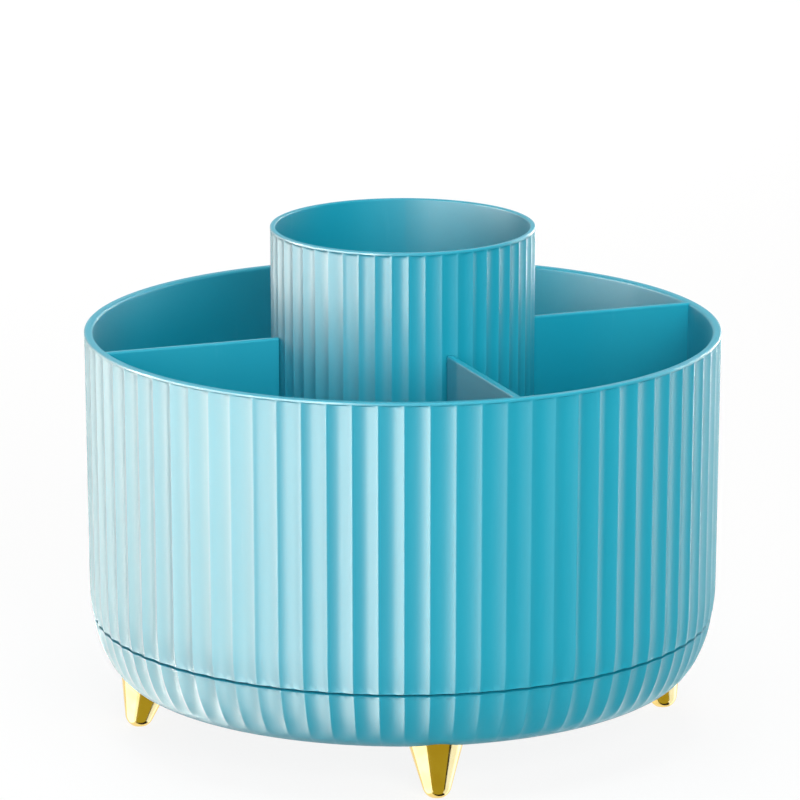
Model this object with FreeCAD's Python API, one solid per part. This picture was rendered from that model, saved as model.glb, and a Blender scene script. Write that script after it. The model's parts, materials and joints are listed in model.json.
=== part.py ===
import FreeCAD
import Part
import math
import os

# Rotating makeup brush holder: a fluted drum with a fluted brush cup in its middle and four
# dividers, turning on a ball bearing in a shallow fluted bowl that stands on four tapered feet.
# Millimetres. The ground is z = 0, the turning axis is z, and the front is -y.
# Angles are in degrees, counted from the front towards +x.

# Overall form
RIM_RADIUS = 85.0
RIM_HEIGHT = 108.2
CUP_RADIUS = 35.3
CUP_HEIGHT = 136.0
BOWL_BOTTOM = 14.0
PARTING_HEIGHT = 30.6
PARTING_GAP = 0.6

# The outer wall leans in a little down to the shoulder, then follows a quarter of an ellipse
SHOULDER_HEIGHT = 40.4
SHOULDER_RADIUS = 84.4
BOWL_INSET = 11.8
BOWL_SECTIONS = 6
SHOULDER_SECTIONS = 3

# Hollow flutes that meet in sharp ridges, under a plain band at each rim. On the bowl they run
# out between two heights, above the plain rounded edge of the underside
FLUTE_COUNT = 80
FLUTE_DEPTH = 0.75
RUN_OUT_TOP = 21.7
RUN_OUT_END = 16.4
CUP_FLUTE_COUNT = 50
CUP_FLUTE_DEPTH = 0.5
CUP_FOOT_RADIUS = 34.9
RIM_BAND = 0.7
RIM_CHAMFER = 0.4
LIP_ROUNDING = 0.8

# How far the drum is turned from the feet as the holder stands
DRUM_TURN = 13.5

# Drum inside
DRUM_MOUTH_RADIUS = 82.7
DRUM_FLOOR_RADIUS = 81.6
DRUM_FLOOR_TOP = 36.6
DRUM_FLOOR = 2.2
DRUM_CORNER = 6.0
SKIRT_RADIUS = 81.4

# Brush cup inside, and the ring on the drum's floor that centres it
CUP_MOUTH_RADIUS = 33.9
CUP_FLOOR_RADIUS = 33.2
CUP_FLOOR_TOP = 42.8
CUP_FLOOR = 2.2
CUP_SKIRT_INNER = 32.8
CUP_CORNER = 3.0
CUP_LIP_ROUNDING = 0.5
CENTRING_RING_INNER = 31.0
CENTRING_RING_OUTER = 32.6
CENTRING_RING_HEIGHT = 2.0

# Dividers and the pairs of guide ribs that they slide down between
DIVIDER_THICKNESS = 1.8
DIVIDER_ROUNDING = 0.6
DIVIDER_INNER_END = 35.4
GUIDE_SLACK = 0.05
GUIDE_WIDTH = 1.2
GUIDE_REACH = 1.8
GUIDE_TOP = 62.0

# Bowl inside, and the lip that laps behind the drum's skirt
BOWL_FLOOR_TOP = 16.4
BOWL_FLOOR_RADIUS = 68.0
BOWL_BEND_RADIUS = 76.5
BOWL_BEND_HEIGHT = 21.0
LIP_FOOT = 28.0
LIP_INNER = 79.2
LIP_OUTER = 80.6
LIP_TOP = 33.5

# Feet, splayed outwards and seated on the bowl
FOOT_CIRCLE = 71.6
FOOT_TIP_RADIUS = 3.9
FOOT_TIP_HEIGHT = 3.2
FOOT_TAPER = 16.5
FOOT_SPLAY = 12.0
FOOT_LENGTH = 19.0
FOOT_SCREW_CIRCLE = 69.0
FOOT_SCREW_END = 5.0
FOOT_PAD_RADIUS = 5.0
FOOT_PAD_TOP = 18.4

# Ball bearing
BALL_COUNT = 12
BALL_RADIUS = 2.5
BALL_CIRCLE = 49.5
BALL_CENTRE = 25.2
BALL_GAP = 0.12
GROOVE_RADIUS = 2.7
RACE_INNER = 42.0
RACE_OUTER = 62.0
RACE_THICKNESS = 3.2
RACE_FACE_GAP = 1.4
CAGE_INNER = 44.8
CAGE_OUTER = 54.2
CAGE_THICKNESS = 1.4
SEAT_RIB = 1.6
RACE_SCREW_COUNT = 3
RACE_SCREW_CIRCLE = 58.0
RACE_SCREW_BITE = 4.6

# Pivot in the middle
PIVOT_BOSS_RADIUS = 10.0
PIVOT_BOSS_TOP = 27.0
RECESS_RADIUS = 8.0
RECESS_TOP = 19.0
BUSH_RADIUS = 5.0
BUSH_FLANGE_RADIUS = 7.0
BUSH_FLANGE = 1.2
HUB_RADIUS = 7.5
HUB_END = 28.4
PIVOT_RADIUS = 3.0
RUNNING_CLEARANCE = 0.05
PIVOT_HEAD_RADIUS = 5.6
PIVOT_HEAD = 2.2
PIVOT_THREAD_RADIUS = 2.0
PIVOT_THREAD_END = 34.8
SOCKET_SIDES = 6
SOCKET_RADIUS = 1.75
SOCKET_DEPTH = 1.4
WASHER_RADIUS = 7.2
WASHER_THICKNESS = 0.5
WASHER_SLACK = 0.1
CAP_THICKNESS = 1.4
CAP_CHAMFER = 0.4

# Small screws and the bosses that they bite into
SCREW_RADIUS = 1.4
SCREW_HOLE_RADIUS = 1.6
HEAD_RADIUS = 2.7
HEAD_HEIGHT = 1.3
BOSS_RADIUS = 3.2
CUP_SCREW_COUNT = 3
CUP_SCREW_CIRCLE = 22.0
CUP_SCREW_ANGLE = 30.0
CUP_SCREW_END = 41.0
HOLE_SPARE = 0.4

# Radial ribs under the drum's floor and on the bowl's floor
INNER_RIB_COUNT = 6
OUTER_RIB_COUNT = 8
OUTER_RIB_ANGLE = 22.5
OUTER_RIB_END = 74.0
RIB_THICKNESS = 1.4
RIB_HEIGHT = 3.0
RIB_OVERLAP = 1.0

DRUM_FLOOR_UNDERSIDE = DRUM_FLOOR_TOP - DRUM_FLOOR
CUP_FLOOR_UNDERSIDE = CUP_FLOOR_TOP - CUP_FLOOR
BOWL_RIM = PARTING_HEIGHT - PARTING_GAP / 2
DRUM_BOTTOM = PARTING_HEIGHT + PARTING_GAP / 2
LOWER_RACE_TOP = BALL_CENTRE - RACE_FACE_GAP
LOWER_RACE_BOTTOM = LOWER_RACE_TOP - RACE_THICKNESS
UPPER_RACE_BOTTOM = BALL_CENTRE + RACE_FACE_GAP
UPPER_RACE_TOP = UPPER_RACE_BOTTOM + RACE_THICKNESS
WASHER_BOTTOM = RECESS_TOP - WASHER_SLACK - WASHER_THICKNESS
OVERSHOOT = 5.0
ORIGIN = FreeCAD.Vector(0, 0, 0)
UP = FreeCAD.Vector(0, 0, 1)
SIDES = ("front", "right", "back", "left")


def polar(radius, angle, height=0.0):
    """Point at an angle from the front, counted towards +x."""
    turn = math.radians(angle)
    return FreeCAD.Vector(radius * math.sin(turn), -radius * math.cos(turn), height)


def turned_by(shape, angle):
    """Copy of a shape, turned about the holder's axis."""
    return shape.copy().rotate(ORIGIN, UP, angle)


def around(shape, count, first=0.0):
    """Copies of a shape made at the front, spaced evenly about the axis."""
    return [turned_by(shape, first + 360.0 * i / count) for i in range(count)]


def cylinder(radius, low, high, centre=ORIGIN):
    """Upright cylinder over a point."""
    return Part.makeCylinder(radius, high - low, FreeCAD.Vector(centre.x, centre.y, low))


def tube(inner, outer, low, high):
    """Upright tube about the holder's axis."""
    return cylinder(outer, low, high).cut(cylinder(inner, low, high))


def front_bar(width, near, far, low, high):
    """Upright bar across the front, from one distance out to another."""
    return Part.makeBox(width, far - near, high - low, FreeCAD.Vector(-width / 2, -far, low))


def section(corners):
    """Face in the x-z plane through (radius, height, rounding) corners."""
    places = [FreeCAD.Vector(radius, 0, height) for radius, height, _ in corners]
    arcs, stretches = [], []
    for i, (_, _, rounding) in enumerate(corners):
        here = places[i]
        back = (places[i - 1] - here).normalize()
        ahead = (places[(i + 1) % len(places)] - here).normalize()
        half = back.getAngle(ahead) / 2
        reach = rounding / math.tan(half)
        start, end = here + back * reach, here + ahead * reach
        if rounding:
            bisector = (back + ahead).normalize()
            middle = here + bisector * (rounding / math.sin(half) - rounding)
            arcs.append(Part.Arc(start, middle, end).toShape())
        stretches.append((start, end))
    lines = [
        Part.LineSegment(stretches[i - 1][1], stretches[i][0]).toShape()
        for i in range(len(stretches))
    ]
    return Part.Face(Part.Wire(Part.__sortEdges__(arcs + lines)))


def turned(corners):
    """Solid of revolution about the holder's axis."""
    return section(corners).revolve(ORIGIN, UP, 360)


def fluted_wire(ridge_radius, height, count, depth):
    """Closed outline of hollow flutes, one of them centred on the front."""
    pitch = 360.0 / count
    arcs = []
    for i in range(count):
        start = polar(ridge_radius, (i - 0.5) * pitch, height)
        hollow = polar(ridge_radius - depth, i * pitch, height)
        end = polar(ridge_radius, (i + 0.5) * pitch, height)
        arcs.append(Part.Arc(start, hollow, end).toShape())
    return Part.Wire(arcs)


def curl_angle(height):
    """The ellipse's angle in radians: 0 at the shoulder and above, a right angle at the underside."""
    return math.asin(max(0.0, SHOULDER_HEIGHT - height) / (SHOULDER_HEIGHT - BOWL_BOTTOM))


def ridge_radius(height):
    """Radius of the ridges on the drum and the bowl at a height."""
    if height >= SHOULDER_HEIGHT:
        lean = (RIM_RADIUS - SHOULDER_RADIUS) / (RIM_HEIGHT - SHOULDER_HEIGHT)
        return SHOULDER_RADIUS + lean * (height - SHOULDER_HEIGHT)
    return SHOULDER_RADIUS - BOWL_INSET * (1 - math.cos(curl_angle(height)))


def flute_depth(height):
    """Depth of the flutes at a height, in proportion to the radius and less where they run out."""
    end, start = curl_angle(RUN_OUT_END), curl_angle(RUN_OUT_TOP)
    share = min(1.0, max(0.0, (end - curl_angle(height)) / (end - start)))
    return FLUTE_DEPTH * share * ridge_radius(height) / RIM_RADIUS


def outer_wire(height):
    """Fluted outline of the drum or the bowl at a height."""
    return fluted_wire(ridge_radius(height), height, FLUTE_COUNT, flute_depth(height))


def curled_wall(top, bottom, count):
    """Fluted solid between two levels below the shoulder, its sections even in angle."""
    first, last = curl_angle(top), curl_angle(bottom)
    angles = [first + (last - first) * i / count for i in range(count + 1)]
    tall = SHOULDER_HEIGHT - BOWL_BOTTOM
    wires = [outer_wire(SHOULDER_HEIGHT - tall * math.sin(angle)) for angle in angles]
    return Part.makeLoft(wires, True, False)


def rim_band(radius, top):
    """Plain disc above the flutes, its outer edge broken by a small chamfer."""
    low = top - RIM_BAND
    return turned([
        (0, low, 0), (radius, low, 0), (radius, top - RIM_CHAMFER, 0),
        (radius - RIM_CHAMFER, top, 0), (0, top, 0),
    ])


def bowl_envelope():
    """The bowl's outer form, solid: a fluted wall on a plain rounded edge."""
    low, high = BOWL_BOTTOM, RUN_OUT_END
    half_way = (low + high) / 2
    edge = [FreeCAD.Vector(ridge_radius(height), 0, height) for height in (low, half_way, high)]
    middle = [FreeCAD.Vector(0, 0, height) for height in (high, low)]
    outline = [Part.Arc(*edge).toShape()]
    for start, end in zip([edge[-1]] + middle, middle + [edge[0]]):
        outline.append(Part.LineSegment(start, end).toShape())
    plain = Part.Face(Part.Wire(outline)).revolve(ORIGIN, UP, 360)
    return curled_wall(BOWL_RIM, RUN_OUT_END, BOWL_SECTIONS).fuse(plain)


def drum_envelope():
    """The drum's outer form, solid: a fluted wall that curls in at its lower end."""
    foot = curled_wall(SHOULDER_HEIGHT, DRUM_BOTTOM, SHOULDER_SECTIONS)
    flutes = [outer_wire(SHOULDER_HEIGHT), outer_wire(RIM_HEIGHT - RIM_BAND)]
    wall = Part.makeLoft(flutes, True, True)
    return foot.fuse([wall, rim_band(RIM_RADIUS, RIM_HEIGHT)])


def cup_envelope():
    """The brush cup's outer form, solid."""
    low, high = DRUM_FLOOR_TOP, CUP_HEIGHT - RIM_BAND
    foot = fluted_wire(CUP_FOOT_RADIUS, low, CUP_FLUTE_COUNT, CUP_FLUTE_DEPTH)
    top = fluted_wire(CUP_RADIUS, high, CUP_FLUTE_COUNT, CUP_FLUTE_DEPTH)
    return Part.makeLoft([foot, top], True, True).fuse(rim_band(CUP_RADIUS, CUP_HEIGHT))


def hollow(floor_radius, floor, corner, mouth_radius, top, lip):
    """Space inside a tapered vessel, flared at the mouth to round the rim's inner edge."""
    return turned([
        (0, floor, 0), (floor_radius, floor, corner), (mouth_radius, top, lip),
        (mouth_radius + OVERSHOOT, top, 0), (mouth_radius + OVERSHOOT, top + OVERSHOOT, 0),
        (0, top + OVERSHOOT, 0),
    ])


def drum_hollow():
    """Space inside the drum above its floor."""
    return hollow(DRUM_FLOOR_RADIUS, DRUM_FLOOR_TOP, DRUM_CORNER,
                  DRUM_MOUTH_RADIUS, RIM_HEIGHT, LIP_ROUNDING)


def guide_ribs(near, far):
    """Pairs of upright ribs round the axis, with a divider's width between the two of a pair."""
    offset = (DIVIDER_THICKNESS + GUIDE_WIDTH) / 2 + GUIDE_SLACK
    rib = front_bar(GUIDE_WIDTH, near, far, DRUM_FLOOR_TOP, GUIDE_TOP)
    ribs = []
    for side in (-offset, offset):
        ribs += around(rib.translated(FreeCAD.Vector(side, 0, 0)), len(SIDES))
    return ribs


def race_seat(low, high):
    """Two round walls and the screw bosses between them, which carry a race."""
    boss = cylinder(BOSS_RADIUS, low, high, polar(RACE_SCREW_CIRCLE, 0))
    return [
        tube(RACE_INNER, RACE_INNER + SEAT_RIB, low, high),
        tube(RACE_OUTER - SEAT_RIB, RACE_OUTER, low, high),
    ] + around(boss, RACE_SCREW_COUNT)


def holes(radius, low, high, circle, count, first=0.0):
    """Upright holes on a circle, as solids to cut away."""
    return around(cylinder(radius, low, high, polar(circle, 0)), count, first)


def make_drum_shell():
    """Fluted drum with a floor, divider guides, and the bearing's seat and hub under it."""
    under = DRUM_FLOOR_UNDERSIDE
    skirt_space = cylinder(SKIRT_RADIUS, DRUM_BOTTOM - OVERSHOOT, under)
    shell = drum_envelope().cut([drum_hollow(), skirt_space])
    guides = guide_ribs(DRUM_FLOOR_RADIUS - GUIDE_REACH, RIM_RADIUS - FLUTE_DEPTH - GUIDE_WIDTH)
    ring = tube(CENTRING_RING_INNER, CENTRING_RING_OUTER, DRUM_FLOOR_TOP,
                DRUM_FLOOR_TOP + CENTRING_RING_HEIGHT)
    hub = cylinder(HUB_RADIUS, HUB_END, under)
    rib = front_bar(RIB_THICKNESS, HUB_RADIUS - RIB_OVERLAP, RACE_INNER + RIB_OVERLAP,
                    under - RIB_HEIGHT, under)
    added = guides + [ring, hub] + around(rib, INNER_RIB_COUNT) + race_seat(UPPER_RACE_TOP, under)
    race_screw_end = UPPER_RACE_TOP + RACE_SCREW_BITE + HOLE_SPARE
    cut_away = [cylinder(PIVOT_THREAD_RADIUS, HUB_END, PIVOT_THREAD_END)]
    cut_away += holes(SCREW_RADIUS, UPPER_RACE_TOP, race_screw_end,
                      RACE_SCREW_CIRCLE, RACE_SCREW_COUNT)
    cut_away += holes(SCREW_HOLE_RADIUS, under, DRUM_FLOOR_TOP,
                      CUP_SCREW_CIRCLE, CUP_SCREW_COUNT, CUP_SCREW_ANGLE)
    return shell.fuse(added).cut(cut_away)


def make_brush_cup():
    """Fluted cup with a raised floor, screw bosses under it and divider guides outside."""
    room = hollow(CUP_FLOOR_RADIUS, CUP_FLOOR_TOP, CUP_CORNER,
                  CUP_MOUTH_RADIUS, CUP_HEIGHT, CUP_LIP_ROUNDING)
    below = cylinder(CUP_SKIRT_INNER, DRUM_FLOOR_TOP, CUP_FLOOR_UNDERSIDE)
    shell = cup_envelope().cut([room, below])
    boss = cylinder(BOSS_RADIUS, DRUM_FLOOR_TOP, CUP_FLOOR_UNDERSIDE, polar(CUP_SCREW_CIRCLE, 0))
    bosses = around(boss, CUP_SCREW_COUNT, CUP_SCREW_ANGLE)
    guides = guide_ribs(CUP_FOOT_RADIUS - CUP_FLUTE_DEPTH, CUP_FOOT_RADIUS + GUIDE_REACH)
    bites = holes(SCREW_RADIUS, DRUM_FLOOR_TOP, CUP_SCREW_END + HOLE_SPARE,
                  CUP_SCREW_CIRCLE, CUP_SCREW_COUNT, CUP_SCREW_ANGLE)
    return shell.fuse(bosses + guides).cut(bites)


def make_divider():
    """Upright plate at the front, rounded along its top, that follows the drum's inside."""
    half = DIVIDER_THICKNESS / 2
    face = section([
        (-half, DRUM_FLOOR_TOP, 0), (half, DRUM_FLOOR_TOP, 0),
        (half, RIM_HEIGHT, DIVIDER_ROUNDING), (-half, RIM_HEIGHT, DIVIDER_ROUNDING),
    ])
    plate = face.extrude(FreeCAD.Vector(0, -RIM_RADIUS, 0))
    return plate.cut(cylinder(DIVIDER_INNER_END, 0, CUP_HEIGHT)).common(drum_hollow())


def make_bowl():
    """Fluted bowl with a lip, a race seat, foot pads and a pivot boss with a recess under it."""
    room = turned([
        (0, BOWL_FLOOR_TOP, 0), (BOWL_FLOOR_RADIUS, BOWL_FLOOR_TOP, 0),
        (BOWL_BEND_RADIUS, BOWL_BEND_HEIGHT, 0), (LIP_INNER, LIP_FOOT, 0),
        (LIP_INNER, LIP_TOP, 0), (0, LIP_TOP, 0),
    ])
    lip = cylinder(LIP_OUTER, BOWL_RIM, LIP_TOP)
    shell = bowl_envelope().fuse(lip).cut(room)
    floor = BOWL_FLOOR_TOP
    pad = cylinder(FOOT_PAD_RADIUS, floor, FOOT_PAD_TOP, polar(FOOT_SCREW_CIRCLE, 0))
    boss = cylinder(PIVOT_BOSS_RADIUS, floor, PIVOT_BOSS_TOP)
    inner_rib = front_bar(RIB_THICKNESS, PIVOT_BOSS_RADIUS - RIB_OVERLAP,
                          RACE_INNER + RIB_OVERLAP, floor, floor + RIB_HEIGHT)
    outer_rib = front_bar(RIB_THICKNESS, RACE_OUTER - RIB_OVERLAP, OUTER_RIB_END,
                          floor, floor + RIB_HEIGHT)
    added = [boss] + race_seat(floor, LOWER_RACE_BOTTOM) + around(pad, len(SIDES))
    added += around(inner_rib, INNER_RIB_COUNT)
    added += around(outer_rib, OUTER_RIB_COUNT, OUTER_RIB_ANGLE)
    race_screw_end = LOWER_RACE_BOTTOM - RACE_SCREW_BITE - HOLE_SPARE
    cut_away = [
        cylinder(RECESS_RADIUS, BOWL_BOTTOM, RECESS_TOP),
        cylinder(BUSH_RADIUS, RECESS_TOP, PIVOT_BOSS_TOP),
    ]
    cut_away += holes(SCREW_RADIUS, race_screw_end, LOWER_RACE_BOTTOM,
                      RACE_SCREW_CIRCLE, RACE_SCREW_COUNT)
    cut_away += holes(SCREW_HOLE_RADIUS, BOWL_BOTTOM, FOOT_PAD_TOP, FOOT_SCREW_CIRCLE, len(SIDES))
    return shell.fuse(added).cut(cut_away)


def make_foot():
    """Tapered, splayed foot at the front, its round tip cut flat on the ground."""
    splay, taper = math.radians(FOOT_SPLAY), math.radians(FOOT_TAPER)
    along = FreeCAD.Vector(0, math.sin(splay), math.cos(splay))
    middle = polar(FOOT_CIRCLE, 0, FOOT_TIP_HEIGHT)
    thin = FOOT_TIP_RADIUS * math.cos(taper)
    start = middle - along * (FOOT_TIP_RADIUS * math.sin(taper))
    cone = Part.makeCone(thin, thin + FOOT_LENGTH * math.tan(taper), FOOT_LENGTH, start, along)
    ground = cylinder(FOOT_LENGTH, -OVERSHOOT, 0, middle)
    screw_hole = cylinder(SCREW_RADIUS, FOOT_SCREW_END - HOLE_SPARE, FOOT_PAD_TOP,
                          polar(FOOT_SCREW_CIRCLE, 0))
    tip = Part.makeSphere(FOOT_TIP_RADIUS, middle)
    return cone.fuse(tip).cut([ground, bowl_envelope(), screw_hole])


def make_pan_screw(tip, seat):
    """Screw about the holder's axis with a flat-topped head above or below its seat."""
    head_side = 1 if tip < seat else -1
    head_end = seat + head_side * HEAD_HEIGHT
    head = cylinder(HEAD_RADIUS, min(seat, head_end), max(seat, head_end))
    return head.fuse(cylinder(SCREW_RADIUS, min(seat, tip), max(seat, tip)))


def make_countersunk_screw(tip, face):
    """Screw about the holder's axis with a conical head that ends level with a face."""
    head_side = 1 if tip < face else -1
    neck = face - head_side * HEAD_HEIGHT
    head = Part.makeCone(SCREW_RADIUS, HEAD_RADIUS, HEAD_HEIGHT,
                         FreeCAD.Vector(0, 0, neck), UP * head_side)
    return head.fuse(cylinder(SCREW_RADIUS, min(neck, tip), max(neck, tip)))


def make_screw_set(screw, circle, count, first=0.0):
    """The same screw at each place on a circle."""
    return Part.makeCompound(around(screw.translated(polar(circle, 0)), count, first))


def make_race(face, back):
    """Flat ring with a round groove in its face for the balls, and countersunk screw holes."""
    side = 1 if face > back else -1
    ring = tube(RACE_INNER, RACE_OUTER, min(face, back), max(face, back))
    groove_bottom = BALL_CENTRE - side * (BALL_RADIUS + BALL_GAP)
    groove_centre = FreeCAD.Vector(0, 0, groove_bottom + side * GROOVE_RADIUS)
    groove = Part.makeTorus(BALL_CIRCLE, GROOVE_RADIUS, groove_centre, UP)
    sink = make_countersunk_screw(back, face).fuse(
        cylinder(SCREW_HOLE_RADIUS, min(face, back), max(face, back)))
    sinks = around(sink.translated(polar(RACE_SCREW_CIRCLE, 0)), RACE_SCREW_COUNT)
    return ring.cut([groove] + sinks)


def make_ball_cage():
    """Thin ring with a round pocket for each ball."""
    low, high = BALL_CENTRE - CAGE_THICKNESS / 2, BALL_CENTRE + CAGE_THICKNESS / 2
    pockets = holes(BALL_RADIUS + BALL_GAP, low, high, BALL_CIRCLE, BALL_COUNT)
    return tube(CAGE_INNER, CAGE_OUTER, low, high).cut(pockets)


def make_balls():
    """The ring of steel balls."""
    ball = Part.makeSphere(BALL_RADIUS, polar(BALL_CIRCLE, 0, BALL_CENTRE))
    return Part.makeCompound(around(ball, BALL_COUNT))


def make_pivot_bush():
    """Flanged sleeve pressed into the bowl's boss, in which the pivot screw turns."""
    bore = PIVOT_RADIUS + RUNNING_CLEARANCE
    top = PIVOT_BOSS_TOP + BUSH_FLANGE
    sleeve = cylinder(BUSH_RADIUS, RECESS_TOP, PIVOT_BOSS_TOP)
    flange = cylinder(BUSH_FLANGE_RADIUS, PIVOT_BOSS_TOP, top)
    return sleeve.fuse(flange).cut(cylinder(bore, RECESS_TOP, top))


def make_pivot_screw():
    """Shoulder screw driven up into the drum's hub, with a hexagon socket in its head."""
    head_bottom = WASHER_BOTTOM - PIVOT_HEAD
    corners = [polar(SOCKET_RADIUS, 360 / SOCKET_SIDES * i, head_bottom) for i in range(SOCKET_SIDES)]
    socket = Part.Face(Part.makePolygon(corners + corners[:1])).extrude(UP * SOCKET_DEPTH)
    head = cylinder(PIVOT_HEAD_RADIUS, head_bottom, WASHER_BOTTOM)
    shoulder = cylinder(PIVOT_RADIUS, WASHER_BOTTOM, HUB_END)
    thread = cylinder(PIVOT_THREAD_RADIUS, HUB_END, PIVOT_THREAD_END)
    return head.fuse([shoulder, thread]).cut(socket)


def make_thrust_washer():
    """Washer between the pivot screw's head and the roof of the recess."""
    return tube(PIVOT_RADIUS + RUNNING_CLEARANCE, WASHER_RADIUS,
                WASHER_BOTTOM, WASHER_BOTTOM + WASHER_THICKNESS)


def make_pivot_cap():
    """Plug that closes the recess level with the bowl's underside."""
    low, high = BOWL_BOTTOM, BOWL_BOTTOM + CAP_THICKNESS
    rim = RECESS_RADIUS - CAP_CHAMFER
    return turned([
        (0, low, 0), (rim, low, 0), (RECESS_RADIUS, low + CAP_CHAMFER, 0),
        (RECESS_RADIUS, high, 0), (0, high, 0),
    ])


def base_parts():
    """Everything that stands still."""
    foot_screw = make_pan_screw(FOOT_SCREW_END, FOOT_PAD_TOP)
    race_screw = make_countersunk_screw(LOWER_RACE_BOTTOM - RACE_SCREW_BITE, LOWER_RACE_TOP)
    parts = {
        "base_bowl": make_bowl(),
        "foot_screws": make_screw_set(foot_screw, FOOT_SCREW_CIRCLE, len(SIDES)),
        "lower_race": make_race(LOWER_RACE_TOP, LOWER_RACE_BOTTOM),
        "lower_race_screws": make_screw_set(race_screw, RACE_SCREW_CIRCLE, RACE_SCREW_COUNT),
        "pivot_bush": make_pivot_bush(),
        "pivot_cap": make_pivot_cap(),
    }
    for side, foot in zip(SIDES, around(make_foot(), len(SIDES))):
        parts["foot_" + side] = foot
    return parts


def drum_parts():
    """Everything that turns with the drum, before it is turned from the feet."""
    cup_screw = make_pan_screw(CUP_SCREW_END, DRUM_FLOOR_UNDERSIDE)
    race_screw = make_countersunk_screw(UPPER_RACE_TOP + RACE_SCREW_BITE, UPPER_RACE_BOTTOM)
    parts = {
        "drum_shell": make_drum_shell(),
        "brush_cup": make_brush_cup(),
        "cup_screws": make_screw_set(cup_screw, CUP_SCREW_CIRCLE, CUP_SCREW_COUNT,
                                     CUP_SCREW_ANGLE),
        "upper_race": make_race(UPPER_RACE_BOTTOM, UPPER_RACE_TOP),
        "upper_race_screws": make_screw_set(race_screw, RACE_SCREW_CIRCLE, RACE_SCREW_COUNT),
        "pivot_screw": make_pivot_screw(),
        "thrust_washer": make_thrust_washer(),
    }
    for side, divider in zip(SIDES, around(make_divider(), len(SIDES))):
        parts["divider_" + side] = divider
    return parts


def main():
    """Write each piece to its own file."""
    os.makedirs("parts", exist_ok=True)
    parts = base_parts()
    parts.update({"ball_cage": make_ball_cage(), "bearing_balls": make_balls()})
    for name, shape in drum_parts().items():
        parts[name] = turned_by(shape, DRUM_TURN)
    for name, shape in parts.items():
        shape.exportStep("parts/" + name + ".step")


main()
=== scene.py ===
import bmesh
import bpy
import json
import math
from mathutils import Matrix, Vector


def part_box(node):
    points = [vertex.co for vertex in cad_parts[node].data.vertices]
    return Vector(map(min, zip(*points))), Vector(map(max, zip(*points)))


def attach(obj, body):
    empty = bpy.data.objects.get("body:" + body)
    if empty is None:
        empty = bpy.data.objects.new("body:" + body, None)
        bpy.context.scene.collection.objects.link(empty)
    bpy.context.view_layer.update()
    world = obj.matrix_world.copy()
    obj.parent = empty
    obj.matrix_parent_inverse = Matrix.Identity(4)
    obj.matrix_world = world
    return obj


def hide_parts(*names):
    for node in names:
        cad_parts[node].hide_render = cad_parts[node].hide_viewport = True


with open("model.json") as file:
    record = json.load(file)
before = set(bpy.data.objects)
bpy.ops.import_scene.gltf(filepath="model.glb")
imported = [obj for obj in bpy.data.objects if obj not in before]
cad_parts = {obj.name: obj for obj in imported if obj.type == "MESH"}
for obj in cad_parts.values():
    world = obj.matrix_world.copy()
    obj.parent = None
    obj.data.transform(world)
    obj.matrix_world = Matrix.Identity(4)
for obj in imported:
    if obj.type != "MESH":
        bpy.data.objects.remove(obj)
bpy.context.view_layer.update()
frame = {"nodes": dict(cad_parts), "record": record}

# A rotating makeup brush holder in metres. The turning axis is z and the front is -y.
# Angles round the axis are in radians, counted from the front towards +x.
MM = 0.001
DEGREE = math.radians(1)


def reach(node):
    """How far a node that surrounds the axis reaches from it."""
    low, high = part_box(node)
    return min(-low.x, -low.y, high.x, high.y)


def middle_turn(node):
    """The angle at which a node stands."""
    low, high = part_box(node)
    middle = (low + high) / 2
    return math.atan2(middle.x, -middle.y)


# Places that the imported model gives
RIM_RADIUS = reach("drum_shell")
RIM_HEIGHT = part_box("drum_shell")[1].z
HUB_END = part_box("drum_shell")[0].z
DRUM_TURN = middle_turn("divider_front")
CUP_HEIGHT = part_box("brush_cup")[1].z
DRUM_FLOOR_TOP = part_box("brush_cup")[0].z
BOWL_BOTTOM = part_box("base_bowl")[0].z
LIP_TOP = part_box("base_bowl")[1].z
RACE_OUTER = reach("upper_race")
UPPER_RACE_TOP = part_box("upper_race")[1].z
LOWER_RACE_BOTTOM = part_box("lower_race")[0].z
RECESS_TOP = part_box("pivot_bush")[0].z
RECESS_RADIUS = reach("pivot_cap")

# Outer form: the wall leans in a little down to the shoulder, then follows a quarter of an ellipse
SHOULDER_HEIGHT = 40.4 * MM
SHOULDER_RADIUS = 84.4 * MM
BOWL_INSET = 11.8 * MM
PARTING_HEIGHT = 30.6 * MM
PARTING_GAP = 0.6 * MM
DRUM_BOTTOM = PARTING_HEIGHT + PARTING_GAP / 2
BOWL_RIM = PARTING_HEIGHT - PARTING_GAP / 2

# Flutes. The two edges along the parting gap are cut less deep, so that the gap reads as one line.
FLUTE_COUNT = 80
FLUTE_DEPTH = 0.75 * MM
EDGE_DEPTH = 0.45 * MM
CUP_FLUTE_COUNT = 50
CUP_FLUTE_DEPTH = 0.5 * MM
CUP_RADIUS = 35.3 * MM
CUP_FOOT_RADIUS = 34.9 * MM
RIM_BAND = 0.7 * MM
RIM_ROUNDING = 0.35 * MM
FLUTE_RUN_OUT = 0.5 * MM
RUN_OUT_TOP = 21.7 * MM
RUN_OUT_END = 16.4 * MM
RUN_OUT_SHARES = (0.1, 0.4, 1.0)
RIDGE_SOFTNESS = 0.04
RIDGE_SHARES = (0, 0.02, 0.05, 0.1, 0.2, 0.4, 0.7)
CREST_FADE = 6

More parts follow.
